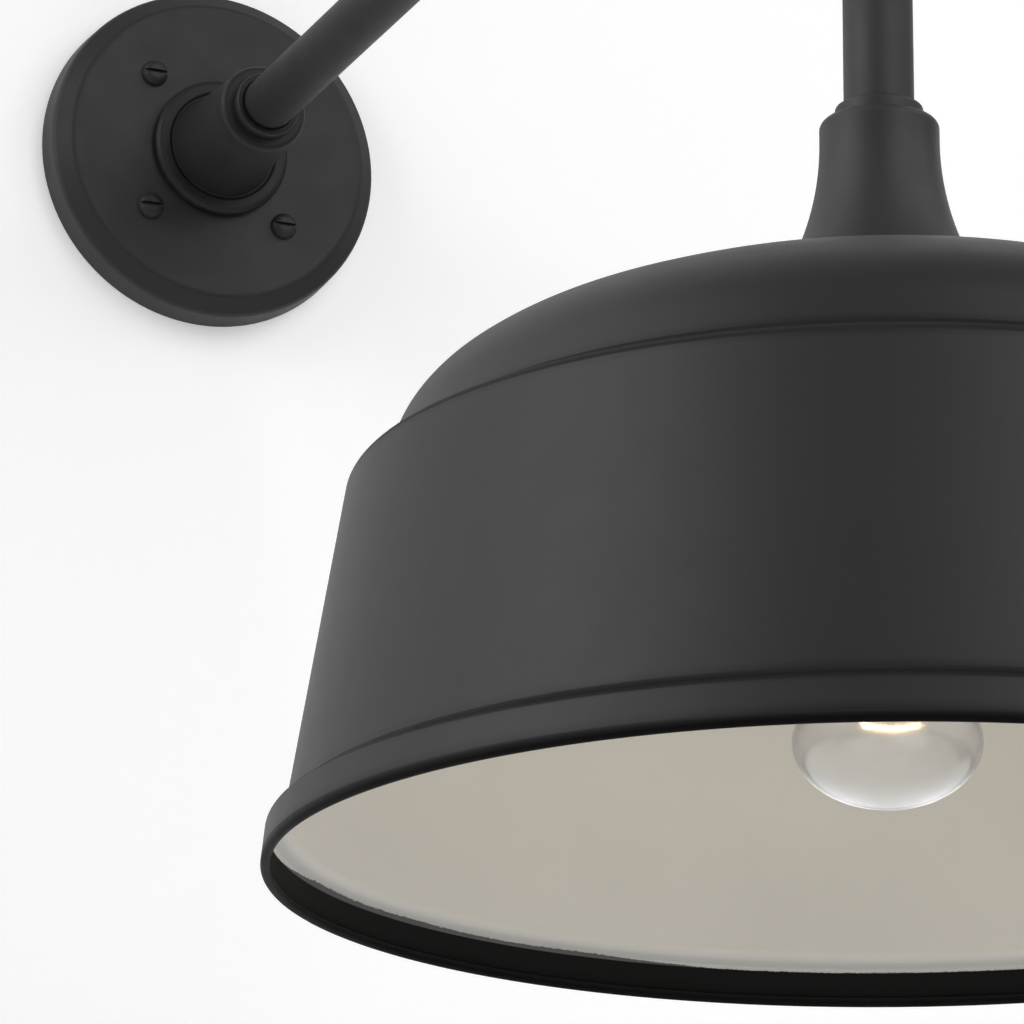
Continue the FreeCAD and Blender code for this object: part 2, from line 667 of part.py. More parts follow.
def ground_wire():
    """Bare earth lead from the ground screw to the ear of the boss's lock washer."""
    ear_h = PLATE_H - PLATE_T - WASHER_T - WIRE_R
    low_h = STRAP_T + WIRE_R
    screw_edge, ramp_top, ramp_foot, ear_end = GROUND_SCREW_Y - 5.0, 36.0, 28.0, 19.0
    route = [(V(0, -low_h, screw_edge), 0), (V(0, -low_h, ramp_top), 6), (V(0, -ear_h, ramp_foot), 5),
             (V(0, -ear_h, ear_end), 0)]
    return swept(route, WIRE_R)


def wire_connectors():
    """Twist-on caps over the ends of the two leads."""
    tip_r, mouth_l, grip = 3.0, 4.0, 5.0
    solids = []
    for side in (-1, 1):
        cap = turned([(0, 0), (tip_r, 0, 0.8), (CONNECTOR_R, CONNECTOR_L - mouth_l, 2),
                      (CONNECTOR_R, CONNECTOR_L, 0.5), (0, CONNECTOR_L)])
        cap.rotate(V(0, 0, 0), V(0, 1, 0), -90)
        cap.translate(V(LEAD_END_X + CONNECTOR_L - grip, -CONNECTOR_H, 0))
        if side < 0:
            cap = cap.mirror(V(0, 0, 0), V(1, 0, 0))
        solids.append(cap.cut(lead(side)))
    return Part.makeCompound(solids)


PARTS = {
    "wall_plate": wall_plate, "plate_gasket": plate_gasket, "mounting_ring": mounting_ring,
    "cover_screws": cover_screws, "ground_screw": ground_screw, "arm_boss": arm_boss,
    "boss_set_screw": boss_set_screw, "boss_washer": boss_washer, "boss_locknut": boss_locknut,
    "arm_ring": arm_ring, "arm_tube": arm_tube, "tube_bushings": tube_bushings, "neck_ring": neck_ring,
    "shade_neck": shade_neck, "neck_set_screw": neck_set_screw, "shade_gasket": shade_gasket, "shade": shade,
    "shade_nipple": shade_nipple, "shade_washer": shade_washer, "shade_locknut": shade_locknut,
    "holder_cap": holder_cap, "holder_body": holder_body, "holder_screws": holder_screws,
    "hot_terminal": lambda: terminal(1), "neutral_terminal": lambda: terminal(-1),
    "screw_shell": screw_shell, "contact_plunger": contact_plunger,
    "bulb_glass": bulb_glass, "bulb_cap": bulb_cap, "bulb_insulator": bulb_insulator, "bulb_tip": bulb_tip,
    "bulb_stem": bulb_stem, "bulb_wires": lead_and_support_wires, "bulb_filament": filament,
    "hot_wire": lambda: lead(1), "neutral_wire": lambda: lead(-1), "ground_wire": ground_wire,
    "wire_connectors": wire_connectors,
}


os.makedirs("parts", exist_ok=True)
for name, make in PARTS.items():
    shape = make()
    shape.exportStep("parts/" + name + ".step")
    print(name, "valid" if shape.isValid() else "NOT VALID", len(shape.Solids), "solids",
          round(shape.Volume / 1000, 2), "cm3")
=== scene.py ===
import json
import math

import bmesh
import bpy
from mathutils import Matrix, Vector

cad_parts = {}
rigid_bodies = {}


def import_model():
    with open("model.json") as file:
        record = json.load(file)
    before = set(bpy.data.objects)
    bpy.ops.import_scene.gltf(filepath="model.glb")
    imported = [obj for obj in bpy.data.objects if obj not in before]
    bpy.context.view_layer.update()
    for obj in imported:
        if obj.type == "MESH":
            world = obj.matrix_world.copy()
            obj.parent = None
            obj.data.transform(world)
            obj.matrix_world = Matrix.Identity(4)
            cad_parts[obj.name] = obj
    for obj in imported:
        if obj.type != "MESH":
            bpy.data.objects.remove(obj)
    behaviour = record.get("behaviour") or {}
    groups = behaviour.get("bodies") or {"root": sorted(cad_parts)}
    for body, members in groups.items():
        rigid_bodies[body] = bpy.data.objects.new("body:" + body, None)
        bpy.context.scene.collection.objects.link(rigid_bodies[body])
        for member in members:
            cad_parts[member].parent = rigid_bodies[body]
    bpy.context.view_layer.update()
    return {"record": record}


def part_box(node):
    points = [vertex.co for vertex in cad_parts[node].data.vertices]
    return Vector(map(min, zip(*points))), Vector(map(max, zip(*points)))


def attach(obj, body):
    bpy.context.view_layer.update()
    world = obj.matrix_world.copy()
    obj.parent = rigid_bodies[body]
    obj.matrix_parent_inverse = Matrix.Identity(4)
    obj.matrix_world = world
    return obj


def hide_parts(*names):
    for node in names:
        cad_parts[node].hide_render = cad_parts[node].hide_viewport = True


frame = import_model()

MM = 0.001
SHARP_EDGE = 40              # degrees

# Places that come from the frame: the shade's axis, its crown and its rim.
SHADE_LOW, SHADE_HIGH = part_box("shade")
AXIS = Vector(((SHADE_LOW[0] + SHADE_HIGH[0]) / 2, (SHADE_LOW[1] + SHADE_HIGH[1]) / 2, 0))
CROWN_Z = SHADE_HIGH[2]
RIM_Z = SHADE_LOW[2]


# ---- small helpers -----------------------------------------------------------

def rounded(corners, steps=10):
    """Corners (r, z, radius) of an open outline as points, each corner rounded by an arc."""
    points = []
    for i, corner in enumerate(corners):
        here = Vector(corner[:2])
        radius = corner[2] if len(corner) > 2 else 0
        if radius <= 0 or i in (0, len(corners) - 1):
            points.append(here)
            continue
        back = (Vector(corners[i - 1][:2]) - here).normalized()
        ahead = (Vector(corners[i + 1][:2]) - here).normalized()
        half = back.angle(ahead) / 2
        centre = here + (back + ahead).normalized() * (radius / math.sin(half))
        start = here + back * (radius / math.tan(half)) - centre
        turn = start.angle_signed(here + ahead * (radius / math.tan(half)) - centre)
        for k in range(steps + 1):
            angle = -turn * k / steps
            points.append(centre + Matrix.Rotation(angle, 2) @ start)
    return points


def split_long(points, longest):
    """Extra points on long straight stretches, so that rings stay close to square."""
    result = [points[0]]
    for a, b in zip(points, points[1:]):
        count = max(1, math.ceil((b - a).length / longest))
        result += [a.lerp(b, k / count) for k in range(1, count + 1)]
    return result


def with_levels(points, levels):
    """Extra points where an outline passes given heights."""
    result = [points[0]]
    for a, b in zip(points, points[1:]):
        crossed = [z for z in levels if min(a.y, b.y) + 0.01 < z < max(a.y, b.y) - 0.01]
        result += [a.lerp(b, (z - a.y) / (b.y - a.y)) for z in sorted(crossed, reverse=a.y > b.y)] + [b]
    return result


def link_mesh(name, mesh, place=None):
    """Turn a mesh's faces outwards, smooth it between its sharp edges and put it in the scene."""
    work = bmesh.new()
    work.from_mesh(mesh)
    bmesh.ops.recalc_face_normals(work, faces=work.faces)
    work.to_mesh(mesh)
    work.free()
    if place is not None:
        mesh.transform(place)
    mesh.shade_smooth()
    mesh.set_sharp_from_angle(angle=math.radians(SHARP_EDGE))
    piece = bpy.data.objects.new(name, mesh)
    bpy.context.collection.objects.link(piece)
    return piece


def link_bars(name, verts, faces):
    mesh = bpy.data.meshes.new(name)
    mesh.from_pydata(verts, [], faces)
    return link_mesh(name, mesh)


def lathe(name, points, around=192, closed=True, place=None, slots=None, thread=None):
    """Turn an outline of (r, z) millimetre points about Z.

    slots gives each span's material index. thread is (pitch, depth), and cuts a rolled helical thread
    where a point has a third value, from 0 for none to 1 for the full depth.
    """
    mesh = bpy.data.meshes.new(name)
    rings, verts, faces, spans = [], [], [], []
    for point in points:
        r, z = point[0] * MM, point[1] * MM
        if r < 1e-7:
            rings.append([len(verts)])
            verts.append((0, 0, z))
            continue
        rings.append(list(range(len(verts), len(verts) + around)))
        for k in range(around):
            cut = 0
            if thread and len(point) > 2:
                wave = point[1] / thread[0] - k / around
                cut = point[2] * thread[1] * MM * (0.5 - 0.5 * math.cos(2 * math.pi * wave))
            turn = 2 * math.pi * k / around
            verts.append(((r - cut) * math.cos(turn), (r - cut) * math.sin(turn), z))
    count = len(points)
    for i in range(count if closed else count - 1):
        a, b = rings[i], rings[(i + 1) % count]
        if len(a) == 1 and len(b) == 1:
            continue
        for k in range(around):
            n = (k + 1) % around
            if len(a) == 1:
                face = (a[0], b[n], b[k])
            elif len(b) == 1:
                face = (a[k], a[n], b[0])
            else:
                face = (a[k], a[n], b[n], b[k])
            faces.append(face)
            spans.append(slots[i] if slots else 0)
    mesh.from_pydata(verts, [], faces)
    for polygon, slot in zip(mesh.polygons, spans):
        polygon.material_index = slot
    return link_mesh(name, mesh, place)


def tube_mesh(path, radius, sides=10, verts=None, faces=None):
    """A round bar along close-set points, its ring turned as little as it can be from point to point."""
    verts = [] if verts is None else verts
    faces = [] if faces is None else faces
    first = len(verts)
    along = (path[1] - path[0]).normalized()
    side = along.orthogonal().normalized()
    for i, point in enumerate(path):
        before, after = path[max(i - 1, 0)], path[min(i + 1, len(path) - 1)]
        along = (after - before).normalized()
        side = (side - along * side.dot(along)).normalized()
        other = along.cross(side)
        size = radius(i / (len(path) - 1)) if callable(radius) else radius
        for k in range(sides):
            turn = 2 * math.pi * k / sides
            verts.append(point + (side * math.cos(turn) + other * math.sin(turn)) * size)
    for i in range(len(path) - 1):
        for k in range(sides):
            a, b = first + i * sides + k, first + i * sides + (k + 1) % sides
            faces.append((a, b, b + sides, a + sides))
    faces.append(tuple(range(first, first + sides)))
    last = first + (len(path) - 1) * sides
    faces.append(tuple(range(last, last + sides)))
    return verts, faces


def bent_path(corners, step):
    """Points every step along straight runs joined by arcs. corners are (point, radius)."""
    points = []
    for i, (here, radius) in enumerate(corners):
        if radius <= 0 or i in (0, len(corners) - 1):
            points.append(here)
            continue
        back = (corners[i - 1][0] - here).normalized()
        ahead = (corners[i + 1][0] - here).normalized()
        half = back.angle(ahead) / 2
        centre = here + (back + ahead).normalized() * (radius / math.sin(half))
        start = (here + back * (radius / math.tan(half)) - centre).normalized()
        end = (here + ahead * (radius / math.tan(half)) - centre).normalized()
        count = max(3, math.ceil(start.angle(end) * radius / step))
        points += [centre + start.slerp(end, k / count) * radius for k in range(count + 1)]
    return split_long(points, step)


ON_SHADE_AXIS = Matrix.Translation(AXIS)


def finish_piece(piece, body, slot, *materials):
    for material in materials:
        piece.data.materials.append(material)
    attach(piece, body)
    return piece


# ---- materials -------------------------------------------------------------------

class Nodes:
    """A material's nodes, with short names for the steps that the materials share."""

    def __init__(self, name):
        self.material = bpy.data.materials.new(name)
        self.material.use_nodes = True
        self.tree = self.material.node_tree
        self.shader = self.tree.nodes["Principled BSDF"]
        self.coords = self.tree.nodes.new("ShaderNodeTexCoord").outputs["Object"]

    def node(self, kind, **values):
        made = self.tree.nodes.new("ShaderNode" + kind)
        for key, value in values.items():
            if hasattr(made, key):
                setattr(made, key, value)
            else:
                made.inputs[key.replace("_", " ")].default_value = value
        return made

    def link(self, source, target):
        self.tree.links.new(source, target)

    def set(self, **values):
        for key, value in values.items():
            self.shader.inputs[key.replace("_", " ")].default_value = value

    def noise(self, scale, detail=3.0, roughness=0.5, vector=None):
        made = self.node("TexNoise", Scale=scale, Detail=detail, Roughness=roughness)
        self.link(vector or self.coords, made.inputs["Vector"])
        return made.outputs["Fac"]

    def ramp(self, source, stops):
        made = self.node("ValToRGB")
        ramp = made.color_ramp
        ramp.elements.remove(ramp.elements[1])
        for i, (place, colour) in enumerate(stops):
            element = ramp.elements[0] if i == 0 else ramp.elements.new(place)
            element.position = place
            element.color = colour if len(colour) == 4 else (*colour, 1)
        self.link(source, made.inputs["Fac"])
        return made.outputs["Color"]

    def spread(self, source, low, high):
        """Map the middle of a noise, 0.3 to 0.7, to low and high."""
        made = self.node("MapRange")
        made.inputs["From Min"].default_value = 0.3
        made.inputs["From Max"].default_value = 0.7
        made.inputs["To Min"].default_value = low
        made.inputs["To Max"].default_value = high
        self.link(source, made.inputs["Value"])
        return made.outputs["Result"]

    def mix(self, factor, first, second):
        made = self.node("Mix", data_type="RGBA")
        colours = [s for s in made.inputs if s.type == "RGBA"]
        self.put(factor, made.inputs[0])
        self.put(first, colours[0])
        self.put(second, colours[1])
        return [s for s in made.outputs if s.type == "RGBA"][0]

    def times(self, first, second):
        made = self.node("Mix", data_type="RGBA", blend_type="MULTIPLY")
        made.inputs[0].default_value = 1
        colours = [s for s in made.inputs if s.type == "RGBA"]
        self.put(first, colours[0])
        self.put(second, colours[1])
        return [s for s in made.outputs if s.type == "RGBA"][0]

    def by_height(self, painted_shading_bands):
        """A grey that follows (height in metres, share) from the lowest to the highest."""
        height = self.node("SeparateXYZ")
        self.link(self.coords, height.inputs[0])
        low, high = painted_shading_bands[0][0], painted_shading_bands[-1][0]
        level = self.node("MapRange")
        level.inputs["From Min"].default_value = low
        level.inputs["From Max"].default_value = high
        self.link(height.outputs["Z"], level.inputs["Value"])
        stops = [((z - low) / (high - low), (share, share, share)) for z, share in painted_shading_bands]
        return self.ramp(level.outputs["Result"], stops)

    def put(self, value, socket):
        if isinstance(value, bpy.types.NodeSocket):
            self.link(value, socket)
        elif isinstance(value, (int, float)):
            socket.default_value = value
        else:
            socket.default_value = value if len(value) == 4 else (*value, 1)

    def math(self, operation, first, second=0.0):
        made = self.node("Math", operation=operation)
        self.put(first, made.inputs[0])
        self.put(second, made.inputs[1])
        return made.outputs[0]

    def ease(self, source, start, end):
        """0 before start and 1 past end."""
        made = self.node("MapRange")
        made.inputs["From Min"].default_value = start
        made.inputs["From Max"].default_value = end
        self.link(source, made.inputs["Value"])
        return made.outputs["Result"]

    def bump(self, height, strength, distance, below=None):
        made = self.node("Bump", Strength=strength, Distance=distance)
        self.link(height, made.inputs["Height"])
        if below is not None:
            self.link(below, made.inputs["Normal"])
        return made.outputs["Normal"]


def powder_coat(name, dark, light, low_rough, high_rough, peel=0.10, gloss=0.35, painted_shading_bands=None):
    """Fine-textured powder coat: cloudy tone, satin patches and an orange peel of two sizes.

    The bands are a list of (height, share) by which the coat's tone follows height: painted shade in the
    shade's folds and at its hem, and painted light and shade along the arm.
    """
    n = Nodes(name)
    tone = n.ramp(n.noise(14, 4), [(0.3, dark), (0.7, light)])
    grain = n.ramp(n.noise(1500, 3, 0.6), [(0.3, (0.86, 0.86, 0.86)), (0.7, (1, 1, 1))])
    tone = n.times(tone, grain)
    # Tone scaled by height: painted shade and painted light.
    if painted_shading_bands:
        tone = n.times(tone, n.by_height(painted_shading_bands))
    n.link(tone, n.shader.inputs["Base Color"])
    patches = n.noise(60, 5, 0.6)
    n.link(n.spread(patches, low_rough, high_rough), n.shader.inputs["Roughness"])
    coarse = n.bump(n.noise(650, 2), peel, 0.0002)
    n.link(n.bump(n.noise(2600, 2), peel * 0.8, 0.0001, coarse), n.shader.inputs["Normal"])
    n.set(Specular_IOR_Level=gloss)
    return n.material


def enamel_inside(name):
    """Cream enamel down to the skirt's step, greyer near its end as painted room light; it stops in a
    ragged line over a grey of painted light on the bare ledge and flat black below.
    """
    n = Nodes(name)
    cream = n.ramp(n.noise(9, 3), [(0.3, CREAM), (0.7, CREAM_LIGHT)])
    height = n.node("SeparateXYZ")
    n.link(n.coords, height.inputs[0])
    above = n.math("SUBTRACT", height.outputs["Z"], ENAMEL_END)
    # Grey near the enamel's end, painted room light, turning to cream higher up.
    coat = n.mix(n.ease(above, *ROOM_LIGHT_REACH), ROOM_LIGHT_GREY, cream)
    rag = n.math("MULTIPLY", n.math("SUBTRACT", n.noise(900, 4, 0.7), 0.5), 0.0011)
    wander = n.math("MULTIPLY", n.math("SUBTRACT", n.noise(16, 2), 0.5), 0.0010)
    level = n.math("ADD", n.math("ADD", above, rag), wander)
    across = height.outputs["X"]
    bare = n.math("MULTIPLY", n.ease(across, *BARE_START), n.ease(across, *BARE_STOP))
    level = n.math("SUBTRACT", level, n.math("MULTIPLY", bare, BARE_LEDGE))
    painted = n.math("GREATER_THAN", level, 0.0)
    # Above the enamel's end, where the enamel has stopped short, the bare ledge gets a grey of painted
    # light; below its end the black stays flat.
    ledge_lit = n.math("GREATER_THAN", above, 0.0)
    under = n.mix(ledge_lit, INNER_BLACK, LEDGE_LIGHT_GREY)
    n.link(n.mix(painted, under, coat), n.shader.inputs["Base Color"])
    satin = n.spread(n.noise(40, 4), 0.40, 0.48)
    smoother = n.math("MULTIPLY", painted, n.math("SUBTRACT", FLAT_BLACK_ROUGH, satin))
    n.link(n.math("SUBTRACT", FLAT_BLACK_ROUGH, smoother), n.shader.inputs["Roughness"])
    ledge = n.bump(painted, 0.6, 0.0002)
    n.link(n.bump(n.noise(420, 2), 0.12, 0.0003, ledge), n.shader.inputs["Normal"])
    n.set(Specular_IOR_Level=0.2)
    return n.material


def zinc(name):
    """Zinc plate: spangled grey with small bright and dull patches and fine scratches."""
    n = Nodes(name)
    grain = n.noise(350, 4, 0.6)
    tone = n.ramp(grain, [(0.3, (0.42, 0.43, 0.44)), (0.7, (0.62, 0.63, 0.64))])
    n.link(tone, n.shader.inputs["Base Color"])
    n.link(n.spread(n.noise(90, 5), 0.28, 0.45), n.shader.inputs["Roughness"])
    n.link(n.bump(n.noise(1500, 3), 0.12, 0.0001), n.shader.inputs["Normal"])
    n.set(Metallic=1.0)
    return n.material


def plain_metal(name, dark, light, low_rough, high_rough, scale=120):
    n = Nodes(name)
    n.link(n.ramp(n.noise(scale, 4), [(0.3, dark), (0.7, light)]), n.shader.inputs["Base Color"])
    n.link(n.spread(n.noise(scale * 3, 4), low_rough, high_rough), n.shader.inputs["Roughness"])
    n.link(n.bump(n.noise(scale * 12, 2), 0.08, 0.0001), n.shader.inputs["Normal"])
    n.set(Metallic=1.0)
    return n.material


def soft_plastic(name, dark, light, low_rough, high_rough, grain=900, peel=0.15):
    n = Nodes(name)
    n.link(n.ramp(n.noise(40, 3), [(0.3, dark), (0.7, light)]), n.shader.inputs["Base Color"])
    n.link(n.spread(n.noise(110, 3), low_rough, high_rough), n.shader.inputs["Roughness"])
    n.link(n.bump(n.noise(grain, 3), peel, 0.0002), n.shader.inputs["Normal"])
    return n.material


def glazed_porcelain(name):
    """White glaze, a little thicker and warmer in patches, with pin-holes."""
    n = Nodes(name)
    n.link(n.ramp(n.noise(35, 3), [(0.3, (0.74, 0.72, 0.67)), (0.7, (0.80, 0.79, 0.75))]),
           n.shader.inputs["Base Color"])
    n.link(n.spread(n.noise(80, 3), 0.08, 0.18), n.shader.inputs["Roughness"])
    n.link(n.bump(n.noise(260, 2), 0.10, 0.0004), n.shader.inputs["Normal"])
    n.set(Coat_Weight=0.5, Coat_Roughness=0.05)
    return n.material


def clear_glass(name, tint, rough):
    n = Nodes(name)
    n.link(n.ramp(n.noise(30, 2), [(0.3, tint), (0.7, (1, 1, 1))]), n.shader.inputs["Base Color"])
    n.link(n.bump(n.noise(60, 2), 0.04, 0.0005), n.shader.inputs["Normal"])
    n.set(Roughness=rough, IOR=1.5, Transmission_Weight=1.0, Sheen_Weight=0.22, Sheen_Roughness=0.35)
    n.set(Specular_IOR_Level=0.2, Coat_Weight=0.5, Coat_Roughness=0.3, Sheen_Tint=(0.86, 0.91, 1, 1))
    return n.material


def glowing(name, strength):
    """Tungsten at white heat, a little cooler in streaks along the coil."""
    n = Nodes(name)
    heat = n.ramp(n.noise(600, 2), [(0.3, (1.0, 0.62, 0.30)), (0.7, (1.0, 0.80, 0.52))])
    n.link(heat, n.shader.inputs["Emission Color"])
    n.link(heat, n.shader.inputs["Base Color"])
    n.set(Emission_Strength=strength, Roughness=0.5)
    return n.material


BLACK = (0.0195, 0.0195, 0.0200)
BLACK_LIGHT = (0.0215, 0.0215, 0.0220)
CREAM = (0.62, 0.594, 0.545)
CREAM_LIGHT = (0.66, 0.632, 0.582)
ROOM_LIGHT_REACH = (0.0005, 0.007)  # the enamel turns from grey to cream over these heights above its end, the grey being painted room light
BARE_START = (0.03, -0.02)   # the bare ledge begins and ends over these stretches from right to left
BARE_STOP = (-0.165, -0.140)
FLAT_BLACK_ROUGH = 0.9
BARE_LEDGE = 0.0014          # on one side the enamel stops this far above its usual line
# Grey of the enamel's lowest reach: painted room light.
ROOM_LIGHT_GREY = (0.525, 0.517, 0.498)
# Grey of the bare ledge: painted light caught by it.
LEDGE_LIGHT_GREY = (0.105, 0.105, 0.103)
INNER_BLACK = (0.0065, 0.0065, 0.0065)


def blacks(share):
    """The black paint's two tones scaled by share: above 1 for painted light, below 1 for painted shade."""
    return tuple(share * c for c in BLACK), tuple(share * c for c in BLACK_LIGHT)


# Lightened and darkened copies of the black, for painted light and painted shade on single parts.
LIGHTENED_BLACKS, LIT_BLACKS, SHADED_BLACKS = blacks(1.5), blacks(1.25), blacks(0.75)
DROP_Z = -0.125              # the arm is its drop below this, and its level run above LEVEL_Z
LEVEL_Z = -0.06
SKIRT_Z = RIM_Z + 0.0138     # brow of the skirt's step, and the fold above it
STEP_Z = RIM_Z + 0.0163
BROW_Z = CROWN_Z - 0.0615    # brow of the shoulder, and the fold where the dome meets it
FOLD_Z = CROWN_Z - 0.0572
ENAMEL_END = RIM_Z + 0.0118
FILAMENT_GLOW = 9
M = {
    "black_paint": powder_coat("black_powder_coat", BLACK, BLACK_LIGHT, 0.50, 0.58),
    # The shade's coat darkens at its hem, at its skirt's brow and step, and at its shoulder's brow and
    # fold: painted shade.
    "shade_paint": powder_coat("shade_coat_painted_shade", BLACK, BLACK_LIGHT, 0.51, 0.54, painted_shading_bands=[
        (RIM_Z + 0.0034, 0.03), (RIM_Z + 0.0039, 0.35), (RIM_Z + 0.0053, 0.74), (RIM_Z + 0.0065, 1.0),
        (SKIRT_Z - 0.0019, 1.0), (SKIRT_Z - 0.0006, 0.5), (STEP_Z + 0.0013, 0.3), (STEP_Z + 0.0040, 1.0),
        (BROW_Z - 0.0040, 1.0), (BROW_Z - 0.0017, 0.45), (FOLD_Z + 0.0010, 0.35), (FOLD_Z + 0.0034, 1.0)]),
    # A lightened, low-gloss copy of the coat for the hem and fold spans, darkened by height there: painted
    # shade.
    "fold_painted_shade": powder_coat("fold_painted_shade_coat", *LIGHTENED_BLACKS, 0.52, 0.60, gloss=0.05, painted_shading_bands=[
        (RIM_Z, 0.13), (RIM_Z + 0.0013, 0.16), (RIM_Z + 0.0020, 0.25), (RIM_Z + 0.0026, 0.48),
        (RIM_Z + 0.0034, 1.0), (SKIRT_Z - 0.0006, 0.8), (STEP_Z - 0.0005, 0.5), (STEP_Z + 0.0013, 0.9),
        (BROW_Z - 0.0017, 0.9), (BROW_Z + 0.0010, 0.6), (FOLD_Z, 0.6), (FOLD_Z + 0.0010, 0.8)]),
    # A lighter, glossier copy of the coat on the neck and its ring: painted light.
    "neck_paint_painted_light": powder_coat("neck_coat_painted_light", *LIT_BLACKS, 0.50, 0.58, gloss=0.44),
    # The arm's coat is lighter on its drop and darker on its level run: painted light and painted shade.
    "arm_paint_painted_light_shade": powder_coat("arm_coat_painted_light_shade", *LIGHTENED_BLACKS, 0.50, 0.58, gloss=0.3,
                             painted_shading_bands=[(DROP_Z, 1.25), (LEVEL_Z, 0.25)]),
    # A darker, less glossy copy of the coat on the boss and its ring: painted shade.
    "boss_paint_painted_shade": powder_coat("boss_coat_painted_shade", *SHADED_BLACKS, 0.50, 0.58, gloss=0.27),
    "enamel": enamel_inside("cream_enamel_painted_light"),
    "black_rubber": soft_plastic("foam_rubber", (0.018, 0.018, 0.018), (0.035, 0.034, 0.033), 0.7, 0.9,
                                 700, 0.5),
    "zinc_steel": zinc("zinc_plate"),
    "dark_steel": plain_metal("black_oxide", (0.05, 0.05, 0.055), (0.09, 0.09, 0.095), 0.35, 0.5),
    "green_screw": soft_plastic("green_lacquer", (0.02, 0.16, 0.05), (0.03, 0.21, 0.07), 0.25, 0.4),
    "black_nylon": soft_plastic("black_nylon", (0.015, 0.015, 0.015), (0.025, 0.025, 0.025), 0.4, 0.55),
    "cast_aluminium": plain_metal("cast_aluminium", (0.46, 0.46, 0.47), (0.58, 0.58, 0.59), 0.4, 0.6, 300),
    "porcelain": glazed_porcelain("glazed_porcelain"),
    "brass": plain_metal("lamp_brass", (0.58, 0.40, 0.14), (0.70, 0.50, 0.20), 0.22, 0.38),
    "nickel_plate": plain_metal("nickel_plate", (0.55, 0.53, 0.49), (0.66, 0.64, 0.60), 0.18, 0.32),
    "solder": plain_metal("solder", (0.42, 0.41, 0.39), (0.56, 0.55, 0.52), 0.25, 0.45, 300),
    "bulb_glass": clear_glass("bulb_envelope", (0.985, 0.99, 0.99), 0.17),
    "stem_glass": clear_glass("stem_glass", (0.95, 0.97, 0.97), 0.03),
    "black_insulator": soft_plastic("vitrite", (0.008, 0.008, 0.01), (0.016, 0.016, 0.02), 0.08, 0.2,
                                    400, 0.1),
    "bulb_wire": plain_metal("lead_in_wire", (0.35, 0.30, 0.25), (0.50, 0.45, 0.38), 0.3, 0.5),
    "filament": glowing("glowing_filament", FILAMENT_GLOW),
    "black_lead": soft_plastic("black_insulation", (0.012, 0.012, 0.012), (0.022, 0.022, 0.022), 0.3, 0.45),
    "white_lead": soft_plastic("white_insulation", (0.66, 0.65, 0.62), (0.74, 0.73, 0.70), 0.3, 0.45),
    "copper": plain_metal("bare_copper", (0.55, 0.24, 0.12), (0.72, 0.36, 0.20), 0.25, 0.45),
    "orange_cap": soft_plastic("orange_connector", (0.62, 0.13, 0.01), (0.75, 0.20, 0.02), 0.35, 0.5),
}

# Parts that take lit or shaded copies of the coat: painted light and painted shade.
LIT_AND_SHADED_COATS = {"neck_ring": "neck_paint_painted_light", "shade_neck": "neck_paint_painted_light", "arm_tube": "arm_paint_painted_light_shade",
             "arm_boss": "boss_paint_painted_shade", "arm_ring": "boss_paint_painted_shade"}
for entry in frame["record"]["subparts"]:
    node = bpy.data.objects[entry["node"]]
    coat = M[LIT_AND_SHADED_COATS.get(entry["node"], entry["material_slot"])]
    for place in range(max(1, len(node.material_slots))):
        if not node.material_slots:
            node.data.materials.append(coat)
        else:
            node.material_slots[place].material = coat


# ---- shade ------------------------------------------------------------------------------

def build_shade():
    """Spun shade as one closed sheet: black outside, enamelled inside, its rim rolled into a hem."""
    thick, hem_r, hem_x, hem_z = 1.2, 1.6, 195.4, RIM_Z / MM
    crown = CROWN_Z / MM
    side = [(10.3, crown), (81.5, crown, 214), (134.1, crown - 22.3, 75), (146.6, crown - 31.4, 42),
            (154.0, crown - 40.7, 36), (160.1, FOLD_Z / MM, 3.0), (170.7, BROW_Z / MM, 4.0),
            (188.3, STEP_Z / MM, 4.5), (193.9, SKIRT_Z / MM, 2.5), (hem_x, hem_z)]
    # The hem and the two folds take the low-gloss coat of painted shade.
    dull = [(RIM_Z / MM - 1, RIM_Z / MM + 3.4), (SKIRT_Z / MM - 0.6, STEP_Z / MM + 1.3),
            (BROW_Z / MM - 1.7, FOLD_Z / MM + 1.0)]
    line = with_levels(split_long(rounded(side, 12), 9), [z for pair in dull for z in pair])
    inside = []
    for i, point in enumerate(line):
        before, after = line[max(i - 1, 0)], line[min(i + 1, len(line) - 1)]
        way = (after - before).normalized()
        inside.append(point + Vector((way.y, -way.x)) * thick)
    hem_top = hem_z + 2 * hem_r
    hem = rounded([line[-2], (hem_x, hem_z, hem_r - 0.05), (hem_x - 2 * hem_r, hem_z, hem_r - 0.05),
                   (hem_x - 2 * hem_r, hem_top, hem_r - 0.15), (inside[-1].x + 0.2, hem_top)], 10)
    room = [point for point in reversed(inside) if point.y > hem_top + 0.3]
    outside = line[:-1] + hem[1:]
    points = outside + room
    middles = [(a.y + b.y) / 2 for a, b in zip(outside, outside[1:])]
    slots = [2 if any(low < z < high for low, high in dull) else 0 for z in middles] + [1] * len(room) + [0]
    piece = lathe("shade_shell", points, 320, True, ON_SHADE_AXIS, slots)
    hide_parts("shade")
    return finish_piece(piece, "lantern", "shade_paint", M["shade_paint"], M["enamel"], M["fold_painted_shade"])


build_shade()


# ---- bulb ---------------------------------------------------------------------------------

CAP_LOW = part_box("bulb_cap")[0][2] / MM
CAP_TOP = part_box("bulb_cap")[1][2] / MM
CAP_R = (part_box("bulb_cap")[1][0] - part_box("bulb_cap")[0][0]) / 2 / MM
GLASS_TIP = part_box("bulb_glass")[0][2] / MM
BULB_R = (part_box("bulb_glass")[1][0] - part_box("bulb_glass")[0][0]) / 2 / MM
THREAD = (3.6, 0.8)
NECK_R = 13.4
TIP_DROP = 20.7              # from the bulb's widest part down to its tip
TUCK = 5                     # the glass goes this far up inside the cap


